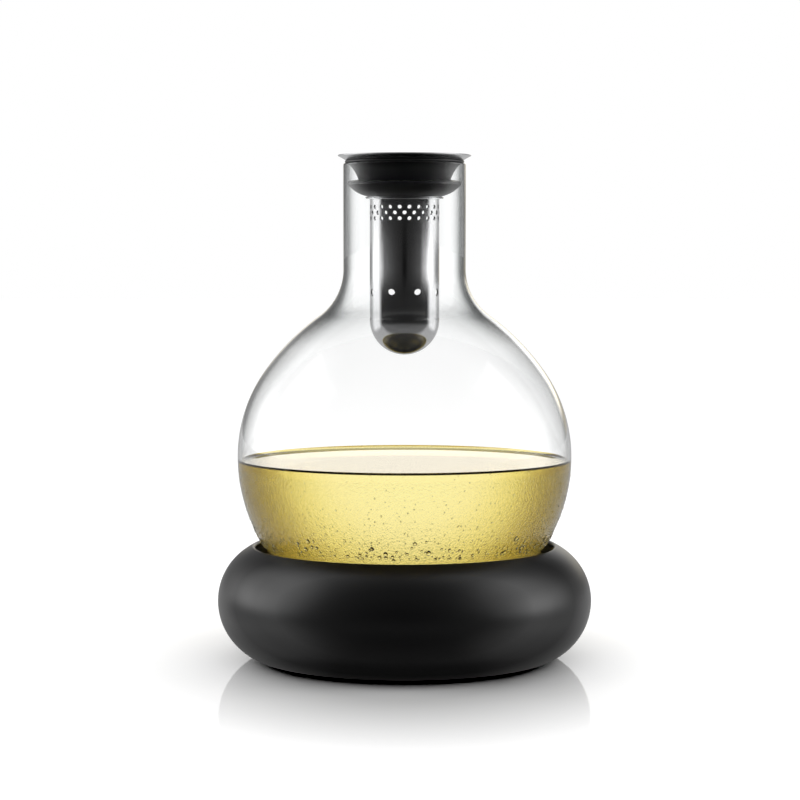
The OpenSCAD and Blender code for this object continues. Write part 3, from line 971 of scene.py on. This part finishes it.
@dataclass
class Condensation:
    """Drops of water on the outside of the cold glass, from the base's lip up to the wine's level."""

    carafe: Carafe
    bead_count: int = 1600
    bead_sizes: Point = (0.16, 0.42)
    bead_zone: Point = (51.0, 86.0)
    drop_count: int = 400
    drop_sizes: Point = (0.35, 1.1)
    drop_zone: Point = (51.0, 60.5)
    stretch: Point = (0.8, 1.5)
    flatness: float = 0.5
    batch: int = 40

    def place(self, sizes: Point, zone: Point) -> Matrix:
        """Choose a drop's size and its place on the glass.

        Args:
            sizes: Smallest and largest radius.
            zone: Lowest and highest place.

        Returns:
            The matrix that brings a ball of radius 1 there.
        """
        centre = Vector((0, 0, self.carafe.globe_c[1]))
        height = random.triangular(*zone, zone[0])
        size = random.triangular(*sizes, sizes[0])
        around = random.uniform(0, math.tau)
        out = leg(self.carafe.globe, height - centre.z)
        spot = Vector((out * math.cos(around), out * math.sin(around), height))
        shape = Matrix.Diagonal((size, size * random.uniform(*self.stretch), size * self.flatness, 1))
        lean = (spot - centre).to_track_quat("Z", "Y").to_matrix().to_4x4()
        return Matrix.Translation(spot) @ lean @ shape

    def drops(self, name: str, count: int, sizes: Point, zone: Point) -> bpy.types.Object:
        """Scatter flat drops over a zone of the glass, more of them low down.

        Args:
            name: Name of the piece.
            count: Number of drops.
            sizes: Smallest and largest radius.
            zone: Lowest and highest place.

        Returns:
            One object with all the drops.
        """
        whole = bmesh.new()
        part = bpy.data.meshes.new("batch")
        for _ in range(count // self.batch):
            mesh = bmesh.new()
            for _ in range(self.batch):
                bmesh.ops.create_uvsphere(
                    mesh, u_segments=8, v_segments=6, radius=1, matrix=self.place(sizes, zone)
                )
            mesh.to_mesh(part)
            mesh.free()
            whole.from_mesh(part)
        bpy.data.meshes.remove(part)
        return make_piece(name, whole, sharp=180)

    def build(self) -> None:
        """Scatter and dress the drops."""
        for piece in (
            self.drops("condensed_beads", self.bead_count, self.bead_sizes, self.bead_zone),
            self.drops("condensed_drops", self.drop_count, self.drop_sizes, self.drop_zone),
        ):
            WATER.dress(piece)
            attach(piece, Body.CARAFE.value)
            LOG.info("condensation: %s made", piece.name)


@dataclass
class Stopper:
    """The silicone stopper, the steel funnel through it and the ring under it."""

    rim: float = 218.615
    collar: float = 26.2
    collar_gap: float = 0.1
    collar_edge: float = 0.35
    plug: float = 25.1
    depth: float = 15.6
    waist: float = 19.2
    skirt_drop: float = 14.5
    skirt_top: float = 0.6
    bowl_drop: float = 8.2
    bowl_fall: float = 0.5
    bowl_band: float = 0.9
    bowl_curve: float = 13.7
    throat: float = 16.15
    sheet: float = 0.6
    flare_drop: float = 17.3
    lip_rise: float = 3.3
    lip: float = 29.3
    ring: float = 17.2
    ring_height: float = 0.8
    play: float = 0.1

    def __post_init__(self) -> None:
        """Work out the trumpet's curve."""
        self.flare = bulge_radius(self.lip - self.throat, self.lip_rise + self.flare_drop) - self.sheet / 2
        self.flare_c = (self.throat + self.flare, self.rim - self.flare_drop)
        self.low = self.rim - self.depth

    def trumpet_angle(self, radius: float, height: float) -> float:
        """Return the angle at which a curve bent like the trumpet reaches a height."""
        return 180 - math.degrees(math.asin((height - self.flare_c[1]) / radius))

    def silicone(self) -> bpy.types.Object:
        """Build the stopper: bowl skirt, waist, flared skirt and collar.

        Returns:
            The piece.
        """
        grip = self.flare - self.play
        touch = self.rim - self.bowl_drop - self.bowl_fall - self.bowl_band
        bowl_mid = self.low + self.bowl_curve
        bowl_c = (self.plug - leg(self.bowl_curve, bowl_mid - touch), bowl_mid)
        start = max(self.flare_c[0] - leg(grip, self.low - self.flare_c[1]), bowl_c[0])
        angle = -math.degrees(math.acos((start - bowl_c[0]) / self.bowl_curve))
        start_z = polar(bowl_c, self.bowl_curve, angle)[1]
        skirt_z = self.rim - self.skirt_drop
        top_z = self.rim - self.skirt_top
        skirt_r = bulge_radius(self.plug - self.waist, top_z - skirt_z)
        skirt_c = (self.waist + skirt_r, skirt_z)
        bowl_z = self.rim - self.bowl_drop
        meet = self.flare_c[1] + leg(grip, self.flare_c[0] - self.collar)
        edge = self.collar_edge
        collar_z = self.rim + self.collar_gap
        low_angle = 180 - math.degrees(math.asin((bowl_z - skirt_z) / skirt_r))
        top_angle = 180 - math.degrees(math.asin((top_z - skirt_z) / skirt_r))
        touch_angle = math.degrees(math.asin((touch - bowl_c[1]) / self.bowl_curve))
        outline = Outline(start, start_z).arc(bowl_c, touch_angle)
        outline.line((self.plug, bowl_z - self.bowl_fall), polar(skirt_c, skirt_r, low_angle))
        outline.arc(skirt_c, top_angle).line((self.plug, collar_z), (self.collar - edge, collar_z))
        outline.arc((self.collar - edge, collar_z + edge), 0, clockwise=False)
        outline.line((self.collar, meet - edge))
        high = self.flare_c[1] + leg(grip, self.flare_c[0] - self.collar + edge)
        outline.line((self.collar - edge, high))
        outline.arc(self.flare_c, self.trumpet_angle(grip, start_z)).close()
        return make_piece("silicone_stopper", outline.turned(), sharp=30)

    def funnel(self) -> bpy.types.Object:
        """Build the funnel, a thin sheet with a round edge at its lip.

        Returns:
            The piece.
        """
        mid = self.flare + self.sheet / 2
        lip_angle = self.trumpet_angle(mid, self.rim + self.lip_rise)
        low_angle = self.trumpet_angle(self.flare, self.low)
        inner = self.flare + self.sheet
        outline = Outline(*polar(self.flare_c, self.flare, low_angle)).arc(self.flare_c, lip_angle)
        outline.arc(polar(self.flare_c, mid, lip_angle), lip_angle, clockwise=False)
        outline.arc(self.flare_c, self.trumpet_angle(inner, self.low)).close()
        return make_piece("steel_funnel", outline.turned(Outline.FINE_STEPS))

    def throat_ring(self) -> bpy.types.Object:
        """Build the thin ring under the stopper.

        Returns:
            The piece.
        """
        inner, low = self.throat - self.sheet, self.low - self.ring_height
        half = self.ring_height / 2
        outline = Outline(inner, low).line((self.ring - half, low))
        outline.arc((self.ring - half, self.low - half), 90, clockwise=False).line((inner, self.low)).close()
        return make_piece("steel_ring", outline.turned())

    def build(self) -> None:
        """Build and dress the stopper, the funnel and the ring."""
        pieces = (
            (self.silicone(), BLACK_SILICONE, "stopper"),
            (self.funnel(), POLISHED_STEEL, "pouring_funnel"),
            (self.throat_ring(), POLISHED_STEEL, "throat_ring"),
        )
        for piece, finish, node in pieces:
            finish.dress(piece)
            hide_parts(node)
            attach(piece, Body.STOPPER.value)
            LOG.info("stopper: %s made", piece.name)


@dataclass
class CoreTube:
    """The drawn tube with its holes, and the seal in its groove."""

    stopper: Stopper
    radius: float = 15.3
    sheet: float = 0.5
    play: float = 0.25
    depth: float = 84.3
    mouth_drop: float = 5.7
    seal_drop: float = 14.0
    seal_wire: float = 0.7
    groove_play: float = 0.1
    small_hole: float = 0.95
    small_drop: float = 19.8
    small_pitch: float = 2.45
    small_rows: int = 3
    small_count: int = 22
    large_hole: float = 1.75
    large_drop: float = 57.0
    large_band: float = 3.0
    large_count: int = 8
    hole_sides: int = 24

    def __post_init__(self) -> None:
        """Work out the curve of the mouth and the place of the seal."""
        s = self.stopper
        self.flare = s.flare + s.sheet + self.play
        seal_z = s.rim - self.seal_drop
        reach = leg(s.flare + s.sheet, seal_z - s.flare_c[1])
        self.seal_c = (s.flare_c[0] - reach - self.groove_play - self.seal_wire, seal_z)

    def groove_angles(self, radius: float, groove: float) -> tuple[float, float, float, float]:
        """Find where the groove's curve meets the flared wall.

        Args:
            radius: Radius of the wall's face about the trumpet's centre.
            groove: Radius of the groove's face about the seal.

        Returns:
            Angles about the trumpet's centre and about the seal, low end and top end each.
        """
        centre = self.stopper.flare_c
        reach = math.dist(centre, self.seal_c)
        towards = math.degrees(math.atan2(centre[1] - self.seal_c[1], centre[0] - self.seal_c[0]))
        half = math.degrees(math.acos((reach**2 + groove**2 - radius**2) / (2 * reach * groove)))
        ends = [polar(self.seal_c, groove, towards + side * half) for side in (-1, 1)]
        angles = [math.degrees(math.atan2(e[1] - centre[1], e[0] - centre[0])) for e in ends]
        return angles[0], angles[1], towards - half, towards + half

    def wall(self) -> bpy.types.Object:
        """Build the tube's wall without its holes.

        Returns:
            The piece.
        """
        s = self.stopper
        centre, end = s.flare_c, (0.0, s.rim - self.depth + self.radius)
        groove = self.seal_wire + self.groove_play
        mid = self.flare + self.sheet / 2
        mouth = s.trumpet_angle(mid, s.rim - self.mouth_drop)
        rows = [s.rim - self.small_drop - (i - 0.5) * self.small_pitch for i in range(self.small_rows + 1)]
        large = s.rim - self.large_drop
        heights = sorted([*rows, large - self.large_band, large + self.large_band])
        outline = Outline(0, end[1] - self.radius).arc(end, 0)
        outline.line(*[(self.radius, z) for z in heights], (self.radius, centre[1]))
        low, _, _, groove_top = self.groove_angles(self.flare, groove)
        outline.arc(centre, low).arc(self.seal_c, groove_top, clockwise=True).arc(centre, mouth)
        outline.arc(polar(centre, mid, mouth), mouth, clockwise=False)
        _, top, groove_low, _ = self.groove_angles(self.flare + self.sheet, groove + self.sheet)
        outline.arc(centre, top).arc(self.seal_c, groove_low, clockwise=False).arc(centre, 180)
        inner = self.radius - self.sheet
        outline.line(*[(inner, z) for z in reversed(heights)], (inner, end[1])).arc(end, -90)
        return make_piece("core_tube_wall", outline.turned())

    def cutters(self) -> bpy.types.Object:
        """Build the pins that cut the holes.

        Returns:
            One object with all the pins.
        """
        s = self.stopper
        mesh = bmesh.new()
        top, half_step = s.rim - self.small_drop, 180 / self.small_count
        rows = [
            (top - i * self.small_pitch, self.small_hole, self.small_count, i % 2 * half_step)
            for i in range(self.small_rows)
        ]
        rows.append((s.rim - self.large_drop, self.large_hole, self.large_count, 180 / self.large_count))
        for height, hole, count, start in rows:
            for i in range(count):
                place = (
                    Matrix.Rotation(math.radians(start + i * 360 / count), 4, "Z")
                    @ Matrix.Translation((self.radius - self.sheet / 2, 0, height))
                    @ Matrix.Rotation(math.radians(90), 4, "Y")
                )
                bmesh.ops.create_cone(
                    mesh,
                    cap_ends=True,
                    segments=self.hole_sides,
                    radius1=hole,
                    radius2=hole,
                    depth=4 * self.sheet + hole,
                    matrix=place,
                )
        return make_piece("core_hole_cutters", mesh)

    def tube(self) -> bpy.types.Object:
        """Build the tube with its holes.

        Returns:
            The piece.
        """
        tube, cutters = self.wall(), self.cutters()
        holes = tube.modifiers.new("holes", "BOOLEAN")
        holes.object, holes.operation, holes.solver = cutters, "DIFFERENCE", "EXACT"
        settle(tube)
        bpy.data.objects.remove(cutters)
        tube.data.set_sharp_from_angle(angle=math.radians(SHARP))
        tube.name = "core_tube_drawn"
        return tube

    def seal(self) -> bpy.types.Object:
        """Build the seal ring.

        Returns:
            The piece.
        """
        outline = Outline(self.seal_c[0] + self.seal_wire, self.seal_c[1])
        outline.arc(self.seal_c, 180, clockwise=False).arc(self.seal_c, 0, clockwise=False)
        return make_piece("seal_ring", outline.turned())

    def build(self) -> None:
        """Build and dress the tube and the seal."""
        pieces = (
            (self.tube(), SATIN_STEEL, "core_tube"),
            (self.seal(), BLACK_SILICONE, "core_seal"),
        )
        for piece, finish, node in pieces:
            finish.dress(piece)
            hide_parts(node)
            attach(piece, Body.CORE.value)
            LOG.info("core: %s made", piece.name)


@dataclass
class WhiteRoom:
    """What surrounds the scene: white, with a lit panel behind and a dark side where the photographer stands.

    Its spans and greys go by how far a direction leads backwards, aside or up, from 0 to 1. Only box_edge
    goes by how near a direction is to a soft box.
    """

    turn: float = 8.0
    panel_light: float = 2.0
    low: Span = (0.2, 0.45, 1.0, 0.3)
    sheet: Span = (0.92, 0.97, 0.0, 1.1)
    sheet_foot: Span = (0.03, 0.07)
    warm: Span = (0.92, 0.97)
    warm_top: Span = (0.13, 0.17, 1.0, 0.0)
    warm_sheet: str = "#FFF7E4"
    above: Span = (0.3, 0.8, 0.0, 0.08)
    box_edge: Span = (0.78, 0.92, 0.0)
    boxes: tuple[tuple[tuple[float, float, float], float], ...] = (
        ((-0.93, 0.15, 0.4), 0.95),
        ((0.96, -0.12, 0.42), 0.75),
    )
    clear_light: float = 1.06
    soft_light: float = 0.75
    white: float = 1.0
    front_greys: tuple[Point, ...] = (
        (0.0, 0.006), (0.1, 0.012), (0.13, 0.03), (0.3, 0.045), (0.55, 0.08), (0.78, 0.16), (1.0, 0.3)
    )
    back_greys: tuple[Point, ...] = (
        (0.0, 0.9), (0.39, 0.85), (0.53, 0.57), (0.643, 0.3), (0.719, 0.18), (0.839, 0.16), (0.92, 0.14),
        (0.965, 0.25), (1.0, 0.28)
    )

    def panel(self, tree: Tree, behind: Socket, up: Socket) -> Socket:
        """Add the nodes of the panel behind the object, with a bright sheet in its middle.

        Args:
            tree: Node tree to add them to.
            behind: How far the direction leads backwards.
            up: How far it leads up.

        Returns:
            The panel's light.
        """
        far = add_node(tree, "ShaderNodeValToRGB", links={"Fac": behind})
        fill_ramp(far.color_ramp, greys(*self.back_greys))
        light = add_node(
            tree, "ShaderNodeMath", {"operation": "MULTIPLY", 1: self.panel_light}, {0: far.outputs["Color"]}
        ).outputs[0]
        light = follow(tree, (up, self.low), start=light)
        sheet = follow(tree, (behind, self.sheet), (up, self.sheet_foot))
        return add_node(tree, "ShaderNodeMath", {"operation": "ADD"}, {0: light, 1: sheet}).outputs[0]

    def light(self, tree: Tree, way: Socket, behind: Socket) -> Socket:
        """Add the nodes for how bright each direction is in steel and lacquer.

        Args:
            tree: Node tree to add them to.
            way: The direction.
            behind: How far it leads backwards.

        Returns:
            The light of dark side, panel, ceiling and soft boxes together.
        """
        parts = add_node(tree, "ShaderNodeSeparateXYZ", links={0: way}).outputs
        side = add_node(tree, "ShaderNodeMath", {"operation": "ABSOLUTE"}, {0: parts["X"]}).outputs[0]
        dark = add_node(tree, "ShaderNodeValToRGB", links={"Fac": side})
        fill_ramp(dark.color_ramp, greys(*self.front_greys))
        back = add_node(tree, "ShaderNodeMapRange", PANEL_EDGE, {0: behind}).outputs[0]
        room = add_node(
            tree,
            "ShaderNodeMix",
            {"data_type": "FLOAT"},
            {0: back, 2: dark.outputs["Color"], 3: self.panel(tree, behind, parts["Z"])},
        ).outputs[0]
        lights = [follow(tree, (parts["Z"], self.above))]
        for centre, level in self.boxes:
            towards = {"operation": "DOT_PRODUCT", 1: Vector(centre).normalized()}
            near = add_node(tree, "ShaderNodeVectorMath", towards, {0: way}).outputs["Value"]
            edge = {**dict(enumerate((*self.box_edge, level), 1)), "interpolation_type": "SMOOTHSTEP"}
            lights.append(add_node(tree, "ShaderNodeMapRange", edge, {0: near}).outputs[0])
        for light in lights:
            room = add_node(tree, "ShaderNodeMath", {"operation": "ADD"}, {0: room, 1: light}).outputs[0]
        return room

    def build(self) -> None:
        """Make the room the scene's world: plain white to the eye, even for glass and for matt surfaces."""
        world = bpy.data.worlds.new("studio")
        bpy.context.scene.world = world
        tree = bare_tree(world)
        path = add_node(tree, "ShaderNodeLightPath").outputs
        way = add_node(tree, "ShaderNodeTexCoord").outputs["Generated"]
        up = add_node(tree, "ShaderNodeSeparateXYZ", links={0: way}).outputs["Z"]
        turn = math.radians(self.turn)
        backwards = {"operation": "DOT_PRODUCT", 1: (math.sin(turn), math.cos(turn), 0)}
        behind = add_node(tree, "ShaderNodeVectorMath", backwards, {0: way}).outputs["Value"]
        strength = self.light(tree, way, behind)
        clear = follow(tree, (path["Glossy Depth"], UNMIRRORED), start=path["Is Transmission Ray"])
        for share, level in (
            (clear, self.clear_light),
            (path["Is Diffuse Ray"], self.soft_light),
            (path["Is Camera Ray"], self.white),
        ):
            strength = add_node(
                tree, "ShaderNodeMix", {"data_type": "FLOAT", 3: level}, {0: share, 2: strength}
            ).outputs[0]
        warm = follow(tree, (behind, self.warm), (path["Glossy Depth"], MIRRORED), (up, self.warm_top))
        colour = add_node(
            tree,
            "ShaderNodeMix",
            {"data_type": "RGBA", 6: grey(self.white), 7: linear(self.warm_sheet)},
            {0: warm},
        ).outputs[2]
        glow = add_node(tree, "ShaderNodeBackground", links={"Color": colour, "Strength": strength})
        add_node(tree, "ShaderNodeOutputWorld", links={"Surface": glow.outputs[0]})


@dataclass
class Studio:
    """The white studio: floor, lamps, camera and the room around them."""

    lens: float = 108.2
    sensor: float = 36.0
    distance: float = 1060.3
    height: float = 180.54
    tilt: float = 3.57
    aside: float = -2.0
    floor_radius: float = 8000.0
    floor_sides: int = 96
    aim: tuple[float, float, float] = (0.0, 0.0, 0.1)
    lamps: tuple[tuple[str, tuple[float, float, float], Point, float], ...] = (
        ("lamp_left", (-1.1, 0.05, 0.75), (0.9, 0.9), 4.5),
        ("lamp_right", (1.15, 0.0, 0.8), (0.7, 0.9), 4.0),
    )

    def floor(self) -> None:
        """Lay the white floor."""
        mesh = bmesh.new()
        bmesh.ops.create_circle(mesh, cap_ends=True, segments=self.floor_sides, radius=self.floor_radius)
        floor = make_piece("floor", mesh)
        floor.data.materials.append(BOARD.material())

    def lamp(self, name: str, place: tuple[float, float, float], size: Point, watts: float) -> None:
        """Hang a soft lamp that looks at the middle of the object.

        Args:
            name: Name of the lamp.
            place: Where it hangs, in metres.
            size: Width and height of its sheet, in metres.
            watts: Its power.
        """
        data = bpy.data.lights.new(name, "AREA")
        data.shape, data.energy = "RECTANGLE", watts
        data.size, data.size_y = size
        lamp = bpy.data.objects.new(name, data)
        lamp.visible_glossy = False
        turn = (Vector(self.aim) - Vector(place)).to_track_quat("-Z", "Y").to_matrix().to_4x4()
        lamp.matrix_world = Matrix.Translation(place) @ turn
        bpy.context.scene.collection.objects.link(lamp)

    def camera(self) -> None:
        """Set the camera where the photographer stood."""
        data = bpy.data.cameras.new("camera")
        data.lens, data.sensor_width = self.lens, self.sensor
        camera = bpy.data.objects.new("camera", data)
        camera.location = (self.aside * MM, -self.distance * MM, self.height * MM)
        camera.rotation_euler = (math.radians(90 - self.tilt), 0, 0)
        bpy.context.scene.collection.objects.link(camera)
        bpy.context.scene.camera = camera

    def build(self) -> None:
        """Set up the studio."""
        bpy.context.scene.view_settings.view_transform = "Standard"
        self.camera()
        self.floor()
        WhiteRoom().build()
        for lamp in self.lamps:
            self.lamp(*lamp)
        LOG.info("studio: floor, room, lamps and camera set")


def main() -> None:
    """Build the sub-assemblies in order, then the studio."""
    logging.basicConfig(level=logging.INFO, format="%(name)s: %(message)s")
    random.seed(SEED)
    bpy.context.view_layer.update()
    carafe, stopper = Carafe(), Stopper()
    parts = (RingBase(), FreezerDish(), carafe, Condensation(carafe), stopper, CoreTube(stopper), Studio())
    for part in parts:
        part.build()


if __name__ == "__main__":
    main()
